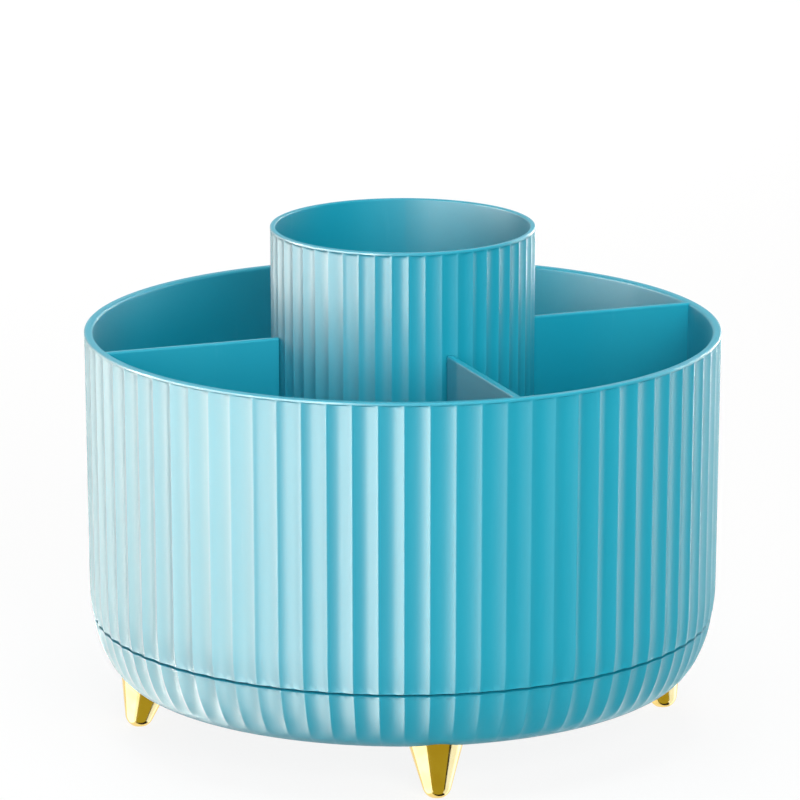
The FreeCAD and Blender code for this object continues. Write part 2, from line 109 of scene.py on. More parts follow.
# Insides
DRUM_FLOOR = 2.2 * MM
DRUM_FLOOR_RADIUS = 81.6 * MM
DRUM_MOUTH_RADIUS = 82.7 * MM
DRUM_CORNER = 6 * MM
SKIRT_RADIUS = 81.4 * MM
LIP_ROUNDING = 0.8 * MM
CUP_FLOOR_TOP = 42.8 * MM
CUP_FLOOR = 2.2 * MM
CUP_FLOOR_RADIUS = 33.2 * MM
CUP_MOUTH_RADIUS = 33.9 * MM
CUP_CORNER = 3 * MM
CUP_SKIRT_INNER = 32.8 * MM
CUP_LIP_ROUNDING = 0.5 * MM
RING_INNER = 31 * MM
RING_OUTER = 32.6 * MM
RING_HEIGHT = 2 * MM
BOWL_FLOOR_TOP = 16.4 * MM
BOWL_FLOOR_RADIUS = 68 * MM
BOWL_BEND_RADIUS = 76.5 * MM
BOWL_BEND_HEIGHT = 21 * MM
LIP_FOOT = 28 * MM
LIP_INNER = 79.2 * MM
LIP_OUTER = 80.6 * MM
EDGE_ROUNDING = 0.3 * MM
EDGE_START = 0.3
EDGE_DROP = 0.45
SHARP_ROUNDING = 0.15 * MM

# Seats, bosses, ribs and screw holes
RACE_INNER = 42 * MM
SEAT_RIB = 1.6 * MM
RACE_SCREW_CIRCLE = 58 * MM
RACE_SCREW_COUNT = 3
PIVOT_BOSS_RADIUS = 10 * MM
PIVOT_BOSS_TOP = 27 * MM
BUSH_RADIUS = 5 * MM
HUB_RADIUS = 7.5 * MM
THREAD_RADIUS = 2 * MM
THREAD_END = 34.8 * MM
BOSS_RADIUS = 3.2 * MM
SCREW_RADIUS = 1.4 * MM
SCREW_HOLE_RADIUS = 1.6 * MM
SCREW_BITE = 5 * MM
CUP_SCREW_COUNT = 3
CUP_SCREW_CIRCLE = 22 * MM
CUP_SCREW_TURN = 30 * DEGREE
CUP_SCREW_END = 41.4 * MM
FOOT_SCREW_CIRCLE = 69 * MM
FOOT_PAD_RADIUS = 5 * MM
FOOT_PAD_TOP = 18.4 * MM
FOOT_COUNT = 4
DIVIDER_COUNT = 4
DIVIDER_THICKNESS = 1.8 * MM
GUIDE_SLACK = 0.05 * MM
GUIDE_WIDTH = 1.2 * MM
GUIDE_REACH = 1.8 * MM
GUIDE_TOP = 62 * MM
INNER_RIB_COUNT = 6
OUTER_RIB_COUNT = 8
OUTER_RIB_TURN = 22.5 * DEGREE
OUTER_RIB_END = 74 * MM
RIB_THICKNESS = 1.4 * MM
RIB_HEIGHT = 3 * MM
RIB_OVERLAP = 1 * MM

# Mesh fineness
PLAIN_COLUMNS = 240
HOLE_COLUMNS = 32
ARC_STEPS = 5
WALL_ROWS = 5
CURL_ROWS = 26
SHARP_EDGE = 32 * DEGREE
MERGE_DISTANCE = 0.0005 * MM


def place(radius, turn, height):
    """Point at an angle from the front."""
    return Vector((radius * math.sin(turn), -radius * math.cos(turn), height))


def ridge_radius(height):
    """Radius of the ridges on the drum and the bowl at a height."""
    if height >= SHOULDER_HEIGHT:
        lean = (RIM_RADIUS - SHOULDER_RADIUS) / (RIM_HEIGHT - SHOULDER_HEIGHT)
        return SHOULDER_RADIUS + lean * (height - SHOULDER_HEIGHT)
    return SHOULDER_RADIUS - BOWL_INSET * (1 - math.cos(curl_angle(height)))


def curl_angle(height):
    """The ellipse's angle: 0 at the shoulder and above, a right angle at the flat underside."""
    return math.asin(max(0.0, SHOULDER_HEIGHT - height) / (SHOULDER_HEIGHT - BOWL_BOTTOM))


def wall_depth(height):
    """Depth of the drum's and the bowl's flutes, which run out in a scoop as the wall turns under."""
    end, start = curl_angle(RUN_OUT_END), curl_angle(RUN_OUT_TOP)
    share = min(1.0, max(0.0, (end - curl_angle(height)) / (end - start)))
    return FLUTE_DEPTH * math.sin(share * math.pi / 2)


def curl_heights(top, bottom, rows):
    """Heights between two levels of the curl, even in the ellipse's angle."""
    first, last = curl_angle(top), curl_angle(bottom)
    tall = SHOULDER_HEIGHT - BOWL_BOTTOM
    return [SHOULDER_HEIGHT - tall * math.sin(first + (last - first) * i / rows) for i in range(rows + 1)]


def hollow_share(share):
    """How deep a flute is, from 0 on its softened ridge to 1 in its middle."""
    soft = math.hypot(share, RIDGE_SOFTNESS) - RIDGE_SOFTNESS
    return 1 - (1 - soft) ** 2


def rounded(corners):
    """Points of an open outline through (radius, height, rounding) corners, with arcs at the roundings."""
    spots = [Vector((radius, height)) for radius, height, _ in corners]
    points = [spots[0]]
    for i in range(1, len(corners) - 1):
        here, rounding = spots[i], corners[i][2]
        if not rounding:
            points.append(here)
            continue
        back = (spots[i - 1] - here).normalized()
        ahead = (spots[i + 1] - here).normalized()
        half = back.angle(ahead) / 2
        middle = here + (back + ahead).normalized() * (rounding / math.sin(half))
        start = here + back * (rounding / math.tan(half)) - middle
        end = here + ahead * (rounding / math.tan(half)) - middle
        steps = range(ARC_STEPS + 1)
        points += [middle + start.slerp(end, step / ARC_STEPS) * rounding for step in steps]
    return points + [spots[-1]]


class Moulding:
    """Mesh of rings about the axis, made one ring after another and closed at the end."""

    def __init__(self, turn=0.0):
        self.mesh = bmesh.new()
        # crest is 1 on the ridges and the rim band and fades into the flutes; it masks the painted highlight on
        # the ridges
        self.crest = self.mesh.verts.layers.float.new("crest")
        self.turn = turn
        self.first = self.last = None

    def ring(self, columns, height):
        """Adds the ring of (turn, radius, crest) columns and joins it to the ring before."""
        ring = []
        for turn, radius, crest in columns:
            vertex = self.mesh.verts.new(place(radius, turn + self.turn, height))
            vertex[self.crest] = crest
            ring.append((turn, vertex))
        if self.last:
            self.join(self.last, ring)
        self.first = self.first or ring
        self.last = ring

    def join(self, low, high):
        """Faces between two rings: quads where their columns agree, else triangles in a zip."""
        if len(low) == len(high):
            for i in range(len(low)):
                self.mesh.faces.new((low[i - 1][1], low[i][1], high[i][1], high[i - 1][1]))
            return
        low, high = low + [(low[0][0] + math.tau, low[0][1])], high + [(high[0][0] + math.tau, high[0][1])]
        i = j = 0
        while i < len(low) - 1 or j < len(high) - 1:
            if j == len(high) - 1 or i < len(low) - 1 and low[i + 1][0] <= high[j + 1][0]:
                self.mesh.faces.new((low[i][1], low[i + 1][1], high[j][1]))
                i += 1
            else:
                self.mesh.faces.new((low[i][1], high[j + 1][1], high[j][1]))
                j += 1

    def plain(self, radius, height, crest=0.0):
        """Adds a round ring."""
        step = math.tau / PLAIN_COLUMNS
        self.ring([(i * step, radius, crest) for i in range(PLAIN_COLUMNS)], height)

    def cap(self, ring, height):
        """Closes a ring with triangles to a point on the axis."""
        middle = self.mesh.verts.new((0, 0, height))
        for i in range(len(ring)):
            self.mesh.faces.new((ring[i - 1][1], ring[i][1], middle))

    def outline(self, corners, crest=0.0):
        """Adds the round rings of an outline."""
        for radius, height in rounded(corners):
            self.plain(radius, height, crest)

    def fluted(self, ridge, height, count, depth, crest=1.0):
        """Adds a ring of hollow flutes, one of them centred on the front."""
        pitch = math.tau / count
        shares = list(RIDGE_SHARES) + [1] + list(RIDGE_SHARES[:0:-1])
        steps = list(RIDGE_SHARES) + [1] + [2 - share for share in RIDGE_SHARES[:0:-1]]
        columns = []
        for flute in range(count):
            for share, step in zip(shares, steps):
                turn = pitch * (flute + 0.5 + step / 2)
                columns.append((turn, ridge - depth * hollow_share(share), crest * (1 - share) ** CREST_FADE))
        self.ring(columns, height)

    def close(self):
        """Joins the last ring to the first."""
        self.join(self.last, self.first)

    def piece(self, name):
        """Ends the mesh and returns it as an object."""
        return object_of(self.mesh, name)


def object_of(mesh, name):
    """Object with the finished mesh, its normals outwards."""
    bmesh.ops.recalc_face_normals(mesh, faces=mesh.faces)
    data = bpy.data.meshes.new(name)
    mesh.to_mesh(data)
    mesh.free()
    made = bpy.data.objects.new(name, data)
    bpy.context.scene.collection.objects.link(made)
    return made


def bar(width, near, far, low, high):
    """Middle and size of an upright bar that runs out towards the front."""
    return Vector((0, -(near + far) / 2, (low + high) / 2)), Vector((width, far - near, high - low))


class Lumps:
    """Bars and rods gathered in one mesh, to be joined to a moulding or cut from it."""

    def __init__(self, turn=0.0):
        self.mesh = bmesh.new()
        self.turn = turn

    def around(self, count, first=0.0):
        """Turns about the axis for copies spaced evenly."""
        return [Matrix.Rotation(self.turn + first + i * math.tau / count, 4, "Z") for i in range(count)]

    def bars(self, count, bar_box, first=0.0, sideways=0.0):
        """Bars at even angles."""
        middle, size = bar_box
        shape = Matrix.Translation(middle + Vector((sideways, 0, 0))) @ Matrix.Diagonal(size).to_4x4()
        for turn in self.around(count, first):
            bmesh.ops.create_cube(self.mesh, size=1, matrix=turn @ shape)

    def rods(self, count, radius, circle, low, high, first=0.0):
        """Upright rods on a circle."""
        middle = Matrix.Translation((0, -circle, (low + high) / 2))
        for turn in self.around(count, first):
            bmesh.ops.create_cone(self.mesh, cap_ends=True, segments=HOLE_COLUMNS, radius1=radius,
                                  radius2=radius, depth=high - low, matrix=turn @ middle)


def combine(piece, lumps, operation):
    """Joins or cuts the lumps, and applies the result."""
    tool = object_of(lumps.mesh, piece.name + "_tool")
    change = piece.modifiers.new(operation.lower(), "BOOLEAN")
    change.operation = operation
    change.solver = "EXACT"
    change.object = tool
    made = bpy.data.meshes.new_from_object(piece.evaluated_get(bpy.context.evaluated_depsgraph_get()))
    piece.modifiers.clear()
    piece.data = made
    bpy.data.objects.remove(tool)


def smooth(piece):
    """Shades the piece smooth, with its corners left sharp."""
    mesh = bmesh.new()
    mesh.from_mesh(piece.data)
    bmesh.ops.dissolve_degenerate(mesh, dist=MERGE_DISTANCE, edges=mesh.edges)
    for face in mesh.faces:
        face.smooth = True
    for edge in mesh.edges:
        edge.smooth = len(edge.link_faces) == 2 and edge.calc_face_angle() < SHARP_EDGE
    mesh.to_mesh(piece.data)
    mesh.free()


def guide_bars(lumps, near, far):
    """Pairs of upright guides with a divider's width between the two of a pair."""
    offset = (DIVIDER_THICKNESS + GUIDE_WIDTH) / 2 + GUIDE_SLACK
    for side in (-offset, offset):
        lumps.bars(DIVIDER_COUNT, bar(GUIDE_WIDTH, near, far, DRUM_FLOOR_TOP, GUIDE_TOP), sideways=side)


def fluted_rim(moulding, radius, top, count, depth):
    """The plain band at a rim, rounded on top, and the upper ends of the flutes under it."""
    moulding.outline([
        (radius - 2 * RIM_ROUNDING, top, 0), (radius, top, RIM_ROUNDING), (radius, top - RIM_BAND, 0),
    ], 1.0)
    for share in RUN_OUT_SHARES:
        moulding.fluted(radius, top - RIM_BAND - FLUTE_RUN_OUT * share, count, depth * math.sqrt(share))


def make_drum():
    """Fluted drum with a floor, divider guides, and the bearing's seat and hub under it."""
    drum = Moulding(DRUM_TURN)
    drum.outline([
        (RING_INNER / 2, DRUM_FLOOR_TOP, 0), (RING_INNER, DRUM_FLOOR_TOP, 0),
        (RING_INNER, DRUM_FLOOR_TOP + RING_HEIGHT, SHARP_ROUNDING),
        (RING_OUTER, DRUM_FLOOR_TOP + RING_HEIGHT, SHARP_ROUNDING), (RING_OUTER, DRUM_FLOOR_TOP, 0),
        (DRUM_FLOOR_RADIUS, DRUM_FLOOR_TOP, DRUM_CORNER), (DRUM_MOUTH_RADIUS, RIM_HEIGHT, LIP_ROUNDING),
        (RIM_RADIUS - 2 * RIM_ROUNDING, RIM_HEIGHT, 0),
    ])
    fluted_rim(drum, RIM_RADIUS, RIM_HEIGHT, FLUTE_COUNT, FLUTE_DEPTH)
    wall_top = RIM_HEIGHT - RIM_BAND - 2 * FLUTE_RUN_OUT
    wall = [wall_top + (SHOULDER_HEIGHT - wall_top) * i / WALL_ROWS for i in range(WALL_ROWS)]
    curl = curl_heights(SHOULDER_HEIGHT, DRUM_BOTTOM + EDGE_ROUNDING, WALL_ROWS)
    for height in wall + curl:
        drum.fluted(ridge_radius(height), height, FLUTE_COUNT, wall_depth(height))
    edge = ridge_radius(DRUM_BOTTOM)
    start = EDGE_ROUNDING * EDGE_START
    drum.fluted(edge - start, DRUM_BOTTOM + start, FLUTE_COUNT, EDGE_DEPTH)
    drum.fluted(edge - EDGE_ROUNDING, DRUM_BOTTOM, FLUTE_COUNT, EDGE_DEPTH)
    under = DRUM_FLOOR_TOP - DRUM_FLOOR
    drum.outline([
        (SKIRT_RADIUS, DRUM_BOTTOM, 0), (SKIRT_RADIUS, under, 0), (RACE_OUTER, under, 0),
        (RACE_OUTER, UPPER_RACE_TOP, 0), (RACE_OUTER - SEAT_RIB, UPPER_RACE_TOP, 0),
        (RACE_OUTER - SEAT_RIB, under, 0), (RACE_INNER + SEAT_RIB, under, 0),
        (RACE_INNER + SEAT_RIB, UPPER_RACE_TOP, 0), (RACE_INNER, UPPER_RACE_TOP, 0),
        (RACE_INNER, under, 0), (HUB_RADIUS, under, 0), (HUB_RADIUS, HUB_END, 0),
        (THREAD_RADIUS, HUB_END, 0), (THREAD_RADIUS, THREAD_END, 0),
    ])
    drum.cap(drum.first, DRUM_FLOOR_TOP)
    drum.cap(drum.last, THREAD_END)
    piece = drum.piece("fluted_drum")
    lumps = Lumps(DRUM_TURN)
    guide_bars(lumps, DRUM_FLOOR_RADIUS - GUIDE_REACH, RIM_RADIUS - FLUTE_DEPTH - GUIDE_WIDTH)
    lumps.bars(INNER_RIB_COUNT, bar(RIB_THICKNESS, HUB_RADIUS - RIB_OVERLAP, RACE_INNER + RIB_OVERLAP,
                                    under - RIB_HEIGHT, under + RIB_OVERLAP))
    lumps.rods(RACE_SCREW_COUNT, BOSS_RADIUS, RACE_SCREW_CIRCLE, UPPER_RACE_TOP, under + RIB_OVERLAP)
    combine(piece, lumps, "UNION")
    holes = Lumps(DRUM_TURN)
    holes.rods(RACE_SCREW_COUNT, SCREW_RADIUS, RACE_SCREW_CIRCLE, UPPER_RACE_TOP - RIB_OVERLAP,
               UPPER_RACE_TOP + SCREW_BITE)
    holes.rods(CUP_SCREW_COUNT, SCREW_HOLE_RADIUS, CUP_SCREW_CIRCLE, under - RIB_OVERLAP,
               DRUM_FLOOR_TOP + RIB_OVERLAP, CUP_SCREW_TURN)
    combine(piece, holes, "DIFFERENCE")
    return piece


def make_cup():
    """Fluted brush cup with a raised floor, screw bosses under it and divider guides outside."""
    cup = Moulding(DRUM_TURN)
    cup.outline([
        (CUP_FLOOR_RADIUS / 2, CUP_FLOOR_TOP, 0), (CUP_FLOOR_RADIUS, CUP_FLOOR_TOP, CUP_CORNER),
        (CUP_MOUTH_RADIUS, CUP_HEIGHT, CUP_LIP_ROUNDING), (CUP_RADIUS - 2 * RIM_ROUNDING, CUP_HEIGHT, 0),
    ])
    fluted_rim(cup, CUP_RADIUS, CUP_HEIGHT, CUP_FLUTE_COUNT, CUP_FLUTE_DEPTH)
    top = CUP_HEIGHT - RIM_BAND - 2 * FLUTE_RUN_OUT
    for i in range(WALL_ROWS + 1):
        height = top + (DRUM_FLOOR_TOP - top) * i / WALL_ROWS
        lean = (CUP_RADIUS - CUP_FOOT_RADIUS) * (height - DRUM_FLOOR_TOP) / (CUP_HEIGHT - DRUM_FLOOR_TOP)
        cup.fluted(CUP_FOOT_RADIUS + lean, height, CUP_FLUTE_COUNT, CUP_FLUTE_DEPTH)
    under = CUP_FLOOR_TOP - CUP_FLOOR
    cup.outline([
        (CUP_SKIRT_INNER, DRUM_FLOOR_TOP, 0), (CUP_SKIRT_INNER, under, 0), (CUP_FLOOR_RADIUS / 2, under, 0),
    ])
    cup.cap(cup.first, CUP_FLOOR_TOP)
    cup.cap(cup.last, under)
    piece = cup.piece("fluted_cup")
    lumps = Lumps(DRUM_TURN)
    guide_bars(lumps, CUP_FOOT_RADIUS - CUP_FLUTE_DEPTH - RIB_OVERLAP / 2, CUP_FOOT_RADIUS + GUIDE_REACH)
    lumps.rods(CUP_SCREW_COUNT, BOSS_RADIUS, CUP_SCREW_CIRCLE, DRUM_FLOOR_TOP, under + RIB_OVERLAP,
               CUP_SCREW_TURN)
    combine(piece, lumps, "UNION")
    holes = Lumps(DRUM_TURN)
    holes.rods(CUP_SCREW_COUNT, SCREW_RADIUS, CUP_SCREW_CIRCLE, DRUM_FLOOR_TOP - RIB_OVERLAP,
               CUP_SCREW_END, CUP_SCREW_TURN)
    combine(piece, holes, "DIFFERENCE")
    return piece


def make_bowl():
    """Fluted bowl with a lip, a race seat, foot pads and a pivot boss with a recess under it."""
    bowl = Moulding()
    edge = ridge_radius(BOWL_RIM)
    bowl.outline([
        (BUSH_RADIUS, RECESS_TOP, 0), (BUSH_RADIUS, PIVOT_BOSS_TOP, 0),
        (PIVOT_BOSS_RADIUS, PIVOT_BOSS_TOP, 0), (PIVOT_BOSS_RADIUS, BOWL_FLOOR_TOP, 0),
        (RACE_INNER, BOWL_FLOOR_TOP, 0), (RACE_INNER, LOWER_RACE_BOTTOM, 0),
        (RACE_INNER + SEAT_RIB, LOWER_RACE_BOTTOM, 0), (RACE_INNER + SEAT_RIB, BOWL_FLOOR_TOP, 0),
        (RACE_OUTER - SEAT_RIB, BOWL_FLOOR_TOP, 0), (RACE_OUTER - SEAT_RIB, LOWER_RACE_BOTTOM, 0),
        (RACE_OUTER, LOWER_RACE_BOTTOM, 0), (RACE_OUTER, BOWL_FLOOR_TOP, 0),
        (BOWL_FLOOR_RADIUS, BOWL_FLOOR_TOP, 0), (BOWL_BEND_RADIUS, BOWL_BEND_HEIGHT, 0),
        (LIP_INNER, LIP_FOOT, 0), (LIP_INNER, LIP_TOP, 0), (LIP_OUTER, LIP_TOP, 0), (LIP_OUTER, BOWL_RIM, 0),
    ])
    for share in (1, EDGE_START):
        drop = EDGE_ROUNDING * (1 - share) * EDGE_DROP
        bowl.fluted(edge - EDGE_ROUNDING * share, BOWL_RIM - drop, FLUTE_COUNT, EDGE_DEPTH)
    for height in curl_heights(BOWL_RIM - EDGE_ROUNDING, BOWL_BOTTOM, CURL_ROWS)[:-1]:
        bowl.fluted(ridge_radius(height), height, FLUTE_COUNT, wall_depth(height))
    bowl.outline([
        (ridge_radius(BOWL_BOTTOM), BOWL_BOTTOM, 0), (RECESS_RADIUS + EDGE_ROUNDING, BOWL_BOTTOM, 0),
        (RECESS_RADIUS, BOWL_BOTTOM + EDGE_ROUNDING, 0), (RECESS_RADIUS, RECESS_TOP, 0),
    ])
    bowl.close()
    piece = bowl.piece("fluted_bowl")
    floor = BOWL_FLOOR_TOP
    lumps = Lumps()
    lumps.rods(FOOT_COUNT, FOOT_PAD_RADIUS, FOOT_SCREW_CIRCLE, floor - RIB_OVERLAP, FOOT_PAD_TOP)
    lumps.rods(RACE_SCREW_COUNT, BOSS_RADIUS, RACE_SCREW_CIRCLE, floor - RIB_OVERLAP, LOWER_RACE_BOTTOM)
    lumps.bars(INNER_RIB_COUNT, bar(RIB_THICKNESS, PIVOT_BOSS_RADIUS - RIB_OVERLAP,
                                    RACE_INNER + RIB_OVERLAP, floor - RIB_OVERLAP, floor + RIB_HEIGHT))
    lumps.bars(OUTER_RIB_COUNT, bar(RIB_THICKNESS, RACE_OUTER - RIB_OVERLAP, OUTER_RIB_END,
                                    floor - RIB_OVERLAP, floor + RIB_HEIGHT), OUTER_RIB_TURN)
    combine(piece, lumps, "UNION")
    holes = Lumps()
    holes.rods(RACE_SCREW_COUNT, SCREW_RADIUS, RACE_SCREW_CIRCLE, LOWER_RACE_BOTTOM - SCREW_BITE,
               LOWER_RACE_BOTTOM + RIB_OVERLAP)
    holes.rods(FOOT_COUNT, SCREW_HOLE_RADIUS, FOOT_SCREW_CIRCLE, BOWL_BOTTOM - RIB_OVERLAP,
               FOOT_PAD_TOP + RIB_OVERLAP)
    combine(piece, holes, "DIFFERENCE")
    return piece


class Signal:
    """One output in a finish's nodes. Arithmetic on values adds Math nodes."""

    def __init__(self, finish, socket):
        self.finish = finish
        self.socket = socket

    def math(self, operation, *values):
        """A Math node of these values."""
        return self.finish.node("Math", {"operation": operation}, dict(enumerate(values)))

    def __add__(self, other):
        return self.math("ADD", self, other)

    def __sub__(self, other):
        return self.math("SUBTRACT", self, other)

    def __mul__(self, other):
        return self.math("MULTIPLY", self, other)

    def __rsub__(self, other):
        return self.math("SUBTRACT", other, self)

    __radd__ = __add__
    __rmul__ = __mul__

    def between(self, low, high):
        """0 below low, 1 above high, and a smooth step in between."""
        ends = {"From Min": low, "From Max": high, "Value": self}
        return self.finish.node("MapRange", {"interpolation_type": "SMOOTHSTEP"}, ends, "Result")


# Detail of the noises, and the strength of most reliefs
PLAIN_DETAIL = 2
FINE_DETAIL = 3
FINEST_DETAIL = 4
RELIEF_STRENGTH = 0.5


class Finish:
    """A surface finish made of nodes, on a material or the world."""

    def __init__(self, owner):
        self.owner = owner
        owner.use_nodes = True
        self.tree = owner.node_tree
        self.tree.nodes.clear()

    def node(self, kind, settings=None, inputs=None, output=0):
        """Adds a shader node with its settings, then the values or links of its sockets."""
        node = self.tree.nodes.new("ShaderNode" + kind)
        for name, value in (settings or {}).items():
            setattr(node, name, value)
        for name, value in (inputs or {}).items():
            socket = in_use(node.inputs, name)
            if isinstance(value, Signal):
                self.tree.links.new(value.socket, socket)
            else:
                socket.default_value = value
        return Signal(self, in_use(node.outputs, output)) if node.outputs else None

    def where(self, stretch=(1, 1, 1)):
        """The object's own coordinates, stretched."""
        spot = self.node("TexCoord", output="Object")
        return self.node("VectorMath", {"operation": "MULTIPLY"}, {0: spot, 1: stretch})

    def noise(self, waves, detail=PLAIN_DETAIL, stretch=(1, 1, 1)):
        """Noise about 0.5, in waves a metre."""
        return self.node("TexNoise", None, {"Vector": self.where(stretch), "Scale": waves, "Detail": detail})

    def tint(self, share, low, high):
        """A colour between two."""
        ends = {"Factor": share, "A": low, "B": high}
        return self.node("Mix", {"data_type": "RGBA"}, ends, "Result")

    def relief(self, height, depth, strength):
        """Normals of a height from 0 to 1 that stands for a depth in metres."""
        return self.node("Bump", None, {"Height": height, "Distance": depth, "Strength": strength})

    def coat(self, **inputs):
        """Ends a material with the main shader, its sockets given by name with _ for a space."""
        named = {name.replace("_", " "): value for name, value in inputs.items()}
        self.node("OutputMaterial", None, {"Surface": self.node("BsdfPrincipled", None, named)})
        return self.owner


def in_use(sockets, key):
    """A socket by its number, or by its name among those that the node's settings leave in use."""
    if isinstance(key, int):
        return sockets[key]
    return next(socket for socket in sockets if socket.enabled and socket.name == key)


# Colours of the finishes, in linear light with an alpha
BLUE = (0.006, 0.350, 0.475, 1)
BLUE_DEEP = (0.004, 0.325, 0.450, 1)
# Paler blue, both for real rubs and for the painted highlight on the ridges and the rim band
BLUE_RUBBED_AND_HIGHLIGHT = (0.060, 0.430, 0.560, 1)
GOLD = (0.950, 0.700, 0.240, 1)
GOLD_DEEP = (0.900, 0.630, 0.180, 1)
ACETAL = (0.800, 0.790, 0.750, 1)
ACETAL_GREASED = (0.620, 0.590, 0.500, 1)
ZINC = (0.620, 0.640, 0.660, 1)
ZINC_BLUE = (0.500, 0.560, 0.640, 1)
BALL_STEEL = (0.640, 0.640, 0.650, 1)
BALL_STEEL_OILED = (0.520, 0.510, 0.480, 1)

# Blue plastic: flow marks and rubs run up and down. Each pattern has its waves a metre, its stretch and the
# noise levels between which it sets in.
FLOW_WAVES = 28
FLOW_STRETCH = (1, 1, 0.25)
FLOW_LEVELS = (0.3, 0.7)
BLUE_RUB_WAVES = 420
BLUE_RUB_STRETCH = (1, 1, 0.12)
BLUE_RUB_LEVELS = (0.62, 0.8)
GRAIN_WAVES = 3200
GRAIN_DEPTH = 0.02 * MM
# Painted highlight: how much paler the ridges and the rim band are painted, towards the paler blue
CREST_PAINTED_HIGHLIGHT = 0.3
RUB_PALE = 0.12
BLUE_ROUGHNESS = 0.38
FLOW_DULL = 0.1
GRAIN_DULL = 0.06
CREST_BRIGHT = 0.08
RUB_BRIGHT = 0.05

# Gold plate
GOLD_PATCH_WAVES = 160
GOLD_PATCH_LEVELS = (0.35, 0.7)
GOLD_RUB_WAVES = 2600
GOLD_RUB_STRETCH = (1, 1, 0.1)
GOLD_RUB_LEVELS = (0.6, 0.75)
PEEL_WAVES = 700
PEEL_DEPTH = 0.01 * MM
PEEL_STRENGTH = 0.4
GOLD_ROUGHNESS = 0.09
GOLD_PATCH_DULL = 0.06
GOLD_RUB_DULL = 0.1

# White acetal
GREASE_WAVES = 90
GREASE_LEVELS = (0.5, 0.68)
GREASE_SHARE = 0.5
TURNING_WAVES = 1500
TURNING_STRETCH = (1, 1, 3)
TURNING_DEPTH = 0.01 * MM
ACETAL_ROUGHNESS = 0.42
GREASE_BRIGHT = 0.2
TURNING_DULL = 0.05

# Zinc-plated steel
ZINC_PATCH_WAVES = 400
ZINC_PATCH_LEVELS = (0.4, 0.65)
ZINC_MARK_WAVES = 900
ZINC_MARK_STRETCH = (1, 1, 8)
ZINC_MARK_DEPTH = 0.01 * MM
ZINC_ROUGHNESS = 0.24
ZINC_MARK_DULL = 0.16
ZINC_PATCH_DULL = 0.08

# Polished steel of the balls
OIL_WAVES = 350
OIL_LEVELS = (0.45, 0.65)
SCRATCH_WAVES = 6000
SCRATCH_DEPTH = 0.002 * MM
BALL_ROUGHNESS = 0.07
OIL_DULL = 0.07
SCRATCH_DULL = 0.03


def satin_blue_abs():
    """Satin moulded plastic: faint flow marks and a fine grain, with smoother ridges that are painted paler as a
    painted highlight.
    """
    finish = Finish(bpy.data.materials.new("satin_blue_abs"))
    crest = finish.node("Attribute", {"attribute_name": "crest"}, output="Fac")
    flow = finish.noise(FLOW_WAVES, FINE_DETAIL, FLOW_STRETCH)
    grain = finish.noise(GRAIN_WAVES)
    rubs = finish.noise(BLUE_RUB_WAVES, FINEST_DETAIL, BLUE_RUB_STRETCH).between(*BLUE_RUB_LEVELS)
    colour = finish.tint(flow.between(*FLOW_LEVELS), BLUE_DEEP, BLUE)
    # The crest part is a painted highlight on the ridges and the rim band; the rubs part is real wear; both go
    # towards the paler blue
    colour = finish.tint(crest * CREST_PAINTED_HIGHLIGHT + rubs * RUB_PALE, colour, BLUE_RUBBED_AND_HIGHLIGHT)
    roughness = BLUE_ROUGHNESS + FLOW_DULL * flow + GRAIN_DULL * grain - CREST_BRIGHT * crest - RUB_BRIGHT * rubs
    return finish.coat(Base_Color=colour, Roughness=roughness,
                       Normal=finish.relief(grain, GRAIN_DEPTH, RELIEF_STRENGTH))


def gold_plating():
    """Bright gold plate over moulded plastic, with a faint orange peel and fine rubs."""
    finish = Finish(bpy.data.materials.new("gold_plating"))
    peel = finish.noise(PEEL_WAVES)
    patches = finish.noise(GOLD_PATCH_WAVES, FINE_DETAIL)
    rubs = finish.noise(GOLD_RUB_WAVES, FINE_DETAIL, GOLD_RUB_STRETCH).between(*GOLD_RUB_LEVELS)
    colour = finish.tint(patches.between(*GOLD_PATCH_LEVELS), GOLD_DEEP, GOLD)
    roughness = GOLD_ROUGHNESS + GOLD_PATCH_DULL * patches + GOLD_RUB_DULL * rubs
    return finish.coat(Base_Color=colour, Metallic=1.0, Roughness=roughness,
                       Normal=finish.relief(peel, PEEL_DEPTH, PEEL_STRENGTH))


def white_acetal():
    """Waxy white acetal, with a film of grease here and there."""
    finish = Finish(bpy.data.materials.new("white_acetal"))
    grease = finish.noise(GREASE_WAVES, FINE_DETAIL).between(*GREASE_LEVELS)
    turning = finish.noise(TURNING_WAVES, PLAIN_DETAIL, TURNING_STRETCH)
    colour = finish.tint(grease * GREASE_SHARE, ACETAL, ACETAL_GREASED)
    roughness = ACETAL_ROUGHNESS - GREASE_BRIGHT * grease + TURNING_DULL * turning
    return finish.coat(Base_Color=colour, Roughness=roughness,
                       Normal=finish.relief(turning, TURNING_DEPTH, RELIEF_STRENGTH))


def zinc_steel():
    """Zinc-plated steel: faintly blue in patches, dull along fine turning marks."""
    finish = Finish(bpy.data.materials.new("zinc_steel"))
    patches = finish.noise(ZINC_PATCH_WAVES, FINE_DETAIL)
    marks = finish.noise(ZINC_MARK_WAVES, PLAIN_DETAIL, ZINC_MARK_STRETCH)
    colour = finish.tint(patches.between(*ZINC_PATCH_LEVELS), ZINC, ZINC_BLUE)
    roughness = ZINC_ROUGHNESS + ZINC_MARK_DULL * marks + ZINC_PATCH_DULL * patches
    return finish.coat(Base_Color=colour, Metallic=1.0, Roughness=roughness,
                       Normal=finish.relief(marks, ZINC_MARK_DEPTH, RELIEF_STRENGTH))


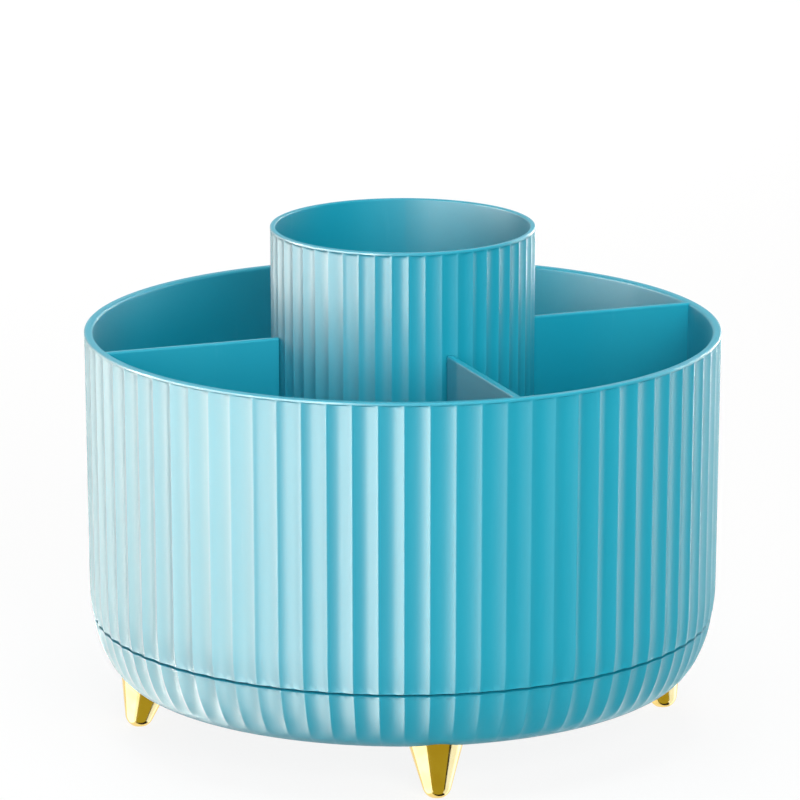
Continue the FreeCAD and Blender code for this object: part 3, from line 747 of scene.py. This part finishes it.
def ball_steel():
    """Ground and polished steel under a thin film of oil."""
    finish = Finish(bpy.data.materials.new("ball_steel"))
    oil = finish.noise(OIL_WAVES).between(*OIL_LEVELS)
    scratches = finish.noise(SCRATCH_WAVES)
    colour = finish.tint(oil, BALL_STEEL, BALL_STEEL_OILED)
    roughness = BALL_ROUGHNESS + OIL_DULL * oil + SCRATCH_DULL * scratches
    return finish.coat(Base_Color=colour, Metallic=1.0, Roughness=roughness,
                       Normal=finish.relief(scratches, SCRATCH_DEPTH, RELIEF_STRENGTH))


FINISHES = {
    "blue_plastic": satin_blue_abs(),
    "gold_plating": gold_plating(),
    "white_acetal": white_acetal(),
    "zinc_screw_steel": zinc_steel(),
    "polished_ball_steel": ball_steel(),
}


def finish_frame():
    """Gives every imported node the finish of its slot."""
    for part in frame["record"]["subparts"]:
        for slot in frame["nodes"][part["node"]].material_slots:
            slot.material = FINISHES[part["material_slot"]]


def fit(piece, node, body):
    """Puts a moulding in the place of its node."""
    smooth(piece)
    piece.data.materials.append(FINISHES["blue_plastic"])
    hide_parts(node)
    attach(piece, body)


# Studio
WHITE = (1, 1, 1, 1)
FLOOR_SIZE = 30
FLOOR_PALE = (0.44, 0.44, 0.43, 1)
FLOOR_SEEN = (0.95, 0.95, 0.94, 1)
FLOOR_GLOW = 0.88
AIR_LIGHT = 0.15
AIM = Vector((0, 0, 62 * MM))

# Lamps of the matt light: name, angle in degrees, distance, height, width and height of the panel, power
MATT_LAMPS = (
    ("front_softbox", 8, 1.2, 0.45, 0.8, 0.8, 13.6),
    ("upper_softbox", -60, 0.9, 1.1, 0.8, 0.8, 1.6),
    ("back_softbox", 188, 1.2, 0.45, 0.8, 0.8, 9),
    ("top_softbox", 0, 0.15, 1.3, 0.7, 0.7, 7),
)

# Upright strips that only show in the plastic's gloss: angle in degrees, power of the low and the high one.
# Seen from above, the walls mirror what is under the horizon, so the low strips reach down past the floor.
GLOSS_STRIPS = (
    (-140, 12, 3), (-110, 9, 30), (-85, 7, 24), (-60, 23, 21), (-35, 12, 31), (110, 2, 7), (140, 3, 9),
)
STRIP_COLOUR = (1, 0.98, 0.9)
STRIP_DISTANCE = 1.2
STRIP_WIDTH = 0.06
LOW_STRIP = (-0.8, 1.0)
HIGH_STRIP = (0.2, 0.9)

# Panels that only show in the gold: the lamps' numbers as above, then the colour
FEET = ("foot_front", "foot_right", "foot_back", "foot_left")
FEET_LAMPS = (
    ("gold_left", -86, 1.2, -0.2, 1.94, 2.4, 31, (0.5, 0.6, 1)),
    ("gold_right", 93, 1.2, -0.2, 1.44, 2.4, 22, (0.5, 0.6, 1)),
    ("gold_front", 3, 1.2, -0.6, 2.36, 2.6, 7.5, (1, 0.9, 0.1)),
)

# Dark screen in front, for the deeper side of the gloss
FLAG_BLACK = (0.02, 0.02, 0.02, 1)
FLAG_PLACE = (28, 1.5, -1.0)
FLAG_SIZE = (6.6, 5)

# Camera, from the rim, parting line, flutes and feet of the photograph
CAMERA_DISTANCE = 1.4308
CAMERA_HEIGHT = 0.4425
CAMERA_TURN = -7.11 * DEGREE
CAMERA_TILT = 76.086 * DEGREE
CAMERA_LENS = 247.56
CAMERA_SHIFT = -0.00335


def make_sheet(name, width, tall, finish):
    """Flat rectangle about its own middle."""
    mesh = bmesh.new()
    shape = Matrix.Diagonal((width / 2, tall / 2, 1, 1))
    bmesh.ops.create_grid(mesh, x_segments=1, y_segments=1, size=1, matrix=shape)
    sheet = object_of(mesh, name)
    sheet.data.materials.append(finish.owner)
    return sheet


def make_floor():
    """Plain pale floor, near white to the camera but with the soft shadow."""
    finish = Finish(bpy.data.materials.new("floor_white"))
    matt = finish.node("BsdfDiffuse", None, {"Color": FLOOR_PALE})
    white = finish.node("BsdfDiffuse", None, {"Color": FLOOR_SEEN})
    glow = finish.node("Emission", None, {"Color": WHITE})
    seen = finish.node("MixShader", None, {0: FLOOR_GLOW, 1: white, 2: glow})
    rays = finish.node("LightPath", output="Is Camera Ray")
    finish.node("OutputMaterial", None, {"Surface": finish.node("MixShader", None, {0: rays, 1: matt, 2: seen})})
    floor = make_sheet("floor", FLOOR_SIZE, FLOOR_SIZE, finish)
    floor.visible_glossy = False
    floor.visible_shadow = False


def make_air():
    """White behind everything that the camera, gloss and glass see, and dim as a light."""
    air = bpy.data.worlds.new("air")
    bpy.context.scene.world = air
    finish = Finish(air)
    seen = finish.node("LightPath", output="Is Camera Ray") + finish.node("LightPath", output="Is Glossy Ray")
    seen = seen + finish.node("LightPath", output="Is Transmission Ray")
    dim = finish.node("Background", None, {"Color": WHITE, "Strength": AIR_LIGHT})
    bright = finish.node("Background", None, {"Color": WHITE})
    finish.node("OutputWorld", None, {"Surface": finish.node("MixShader", None, {0: seen, 1: dim, 2: bright})})


def aim(thing, turn, distance, height):
    """Puts a lamp or the flag round the holder, facing it."""
    thing.location = place(distance, turn * DEGREE, height)
    thing.rotation_euler = (AIM - thing.location).to_track_quat("-Z", "Y").to_euler()


def softbox(name, turn, distance, height, width, tall, power, colour=WHITE[:3], lights=True, shines=True,
            receivers=None):
    """Soft lamp that faces the holder. It can be kept out of the matt light, the gloss or some pieces."""
    data = bpy.data.lights.new(name, "AREA")
    data.shape = "RECTANGLE"
    data.size = width
    data.size_y = tall
    data.energy = power
    data.color = colour
    lamp = bpy.data.objects.new(name, data)
    aim(lamp, turn, distance, height)
    lamp.light_linking.receiver_collection = receivers
    lamp.visible_camera = False
    lamp.visible_diffuse = lights
    lamp.visible_glossy = shines
    bpy.context.scene.collection.objects.link(lamp)


def gather_feet(name, state):
    """Collection that a lamp's light is kept to, or kept from."""
    group = bpy.data.collections.new(name)
    for foot in FEET:
        group.objects.link(frame["nodes"][foot])
    for link in group.collection_objects:
        link.light_linking.link_state = state
    return group


def make_lamps():
    """The matt light, the strips in the plastic's gloss and the panels in the gold."""
    for lamp in MATT_LAMPS:
        softbox(*lamp, shines=False)
    all_but_feet = gather_feet("all_but_feet", "EXCLUDE")
    for turn, low_power, high_power in GLOSS_STRIPS:
        for name, (height, tall), power in (("low", LOW_STRIP, low_power), ("high", HIGH_STRIP, high_power)):
            softbox(name + "_strip", turn, STRIP_DISTANCE, height, STRIP_WIDTH, tall, power, STRIP_COLOUR,
                    lights=False, receivers=all_but_feet)
    only_feet = gather_feet("only_feet", "INCLUDE")
    for lamp in FEET_LAMPS:
        softbox(*lamp, lights=False, receivers=only_feet)


def make_flag():
    """Dark screen that only shows in the gloss."""
    finish = Finish(bpy.data.materials.new("flag_cloth"))
    finish.node("OutputMaterial", None, {"Surface": finish.node("Emission", None, {"Color": FLAG_BLACK})})
    flag = make_sheet("dark_flag", *FLAG_SIZE, finish)
    aim(flag, *FLAG_PLACE)
    flag.visible_camera = flag.visible_diffuse = flag.visible_shadow = False


def make_camera():
    """The photograph's view."""
    data = bpy.data.cameras.new("camera")
    data.lens = CAMERA_LENS
    data.shift_x = CAMERA_SHIFT
    camera = bpy.data.objects.new("camera", data)
    camera.location = place(CAMERA_DISTANCE, CAMERA_TURN, CAMERA_HEIGHT)
    camera.rotation_euler = (CAMERA_TILT, 0, CAMERA_TURN)
    bpy.context.scene.collection.objects.link(camera)
    bpy.context.scene.camera = camera


finish_frame()
fit(make_drum(), "drum_shell", "drum")
fit(make_cup(), "brush_cup", "drum")
fit(make_bowl(), "base_bowl", "base")
make_floor()
make_air()
make_lamps()
make_flag()
make_camera()
bpy.context.scene.view_settings.view_transform = "Standard"


def corners(box):
    """A box as plain lists of numbers."""
    return [list(corner) for corner in box]
